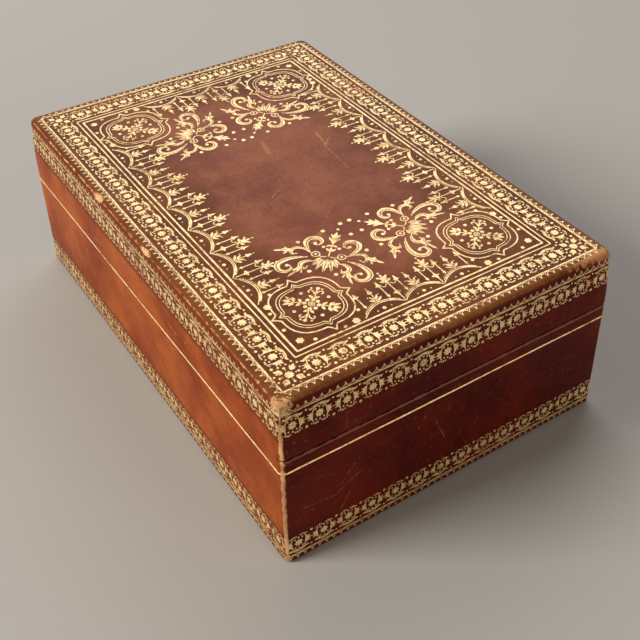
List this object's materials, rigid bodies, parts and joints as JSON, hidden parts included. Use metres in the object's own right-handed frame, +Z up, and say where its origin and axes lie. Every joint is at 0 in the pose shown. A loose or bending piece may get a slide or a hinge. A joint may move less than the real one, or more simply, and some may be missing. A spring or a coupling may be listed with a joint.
{
  "type": "leather jewellery case",
  "caption": "Low rectangular case covered in gold-tooled leather, with a leather-hinged lid, padded lining, and a lift-out tray with ring rolls.",
  "frame": {"origin": "centre of the underside, on the surface the case stands on", "axes": "+X along the long side, +Y towards the leather hinge at the back, +Z up"},
  "size_m": [0.25, 0.166, 0.088],
  "materials": {
    "tooled_leather": "aniline calf, waxed and rubbed, with worn pale edges",
    "gold_tooling": "gold leaf pressed into leather, rubbed thin in places",
    "carcass_wood": "bare poplar board",
    "underside_cloth": "close bookcloth",
    "moire_silk": "watered silk over board or wadding",
    "velvet": "short-pile velvet",
    "ribbon": "ribbed silk ribbon"
  },
  "bodies": {
    "base": {"base_bottom_board": "carcass_wood", "base_front_board": "carcass_wood", "base_back_board": "carcass_wood", "base_left_board": "carcass_wood", "base_right_board": "carcass_wood", "base_leather_cover": "tooled_leather", "base_underside_cloth": "underside_cloth", "base_front_lining": "moire_silk", "base_back_lining": "moire_silk", "base_left_lining": "moire_silk", "base_right_lining": "moire_silk", "base_floor_pad": "velvet", "tray_rest_left": "moire_silk", "tray_rest_right": "moire_silk", "leather_hinge": "tooled_leather", "ribbon_stay_left": "ribbon", "ribbon_stay_right": "ribbon"},
    "lid": {"lid_top_board": "carcass_wood", "lid_front_board": "carcass_wood", "lid_back_board": "carcass_wood", "lid_left_board": "carcass_wood", "lid_right_board": "carcass_wood", "lid_leather_cover": "tooled_leather", "lid_front_lining": "moire_silk", "lid_back_lining": "moire_silk", "lid_left_lining": "moire_silk", "lid_right_lining": "moire_silk", "lid_padded_lining": "moire_silk"},
    "tray": {"tray_floor_board": "velvet", "tray_front_wall": "velvet", "tray_back_wall": "velvet", "tray_left_wall": "velvet", "tray_right_wall": "velvet", "tray_cross_divider": "velvet", "tray_long_divider": "velvet", "tray_short_divider": "velvet", "ring_roll_1": "velvet", "ring_roll_2": "velvet", "ring_roll_3": "velvet", "ring_roll_4": "velvet", "ring_roll_5": "velvet", "ring_roll_6": "velvet", "compartment_pad_front": "velvet", "compartment_pad_back_left": "velvet", "compartment_pad_back_right": "velvet", "tray_tab_left": "ribbon", "tray_tab_right": "ribbon"}
  },
  "joints": [
    {"name": "lid_hinge", "type": "hinge", "parent": "base", "child": "lid", "pos_m": [0, 0.083, 0.0595], "axis": [-1, 0, 0], "range_deg": [0, 105], "deforming": ["leather_hinge", "ribbon_stay_left", "ribbon_stay_right"]},
    {"name": "tray_lift", "type": "slide", "parent": "base", "child": "tray", "axis": [0, 0, 1], "range_m": [0, 0.014]}
  ]
}
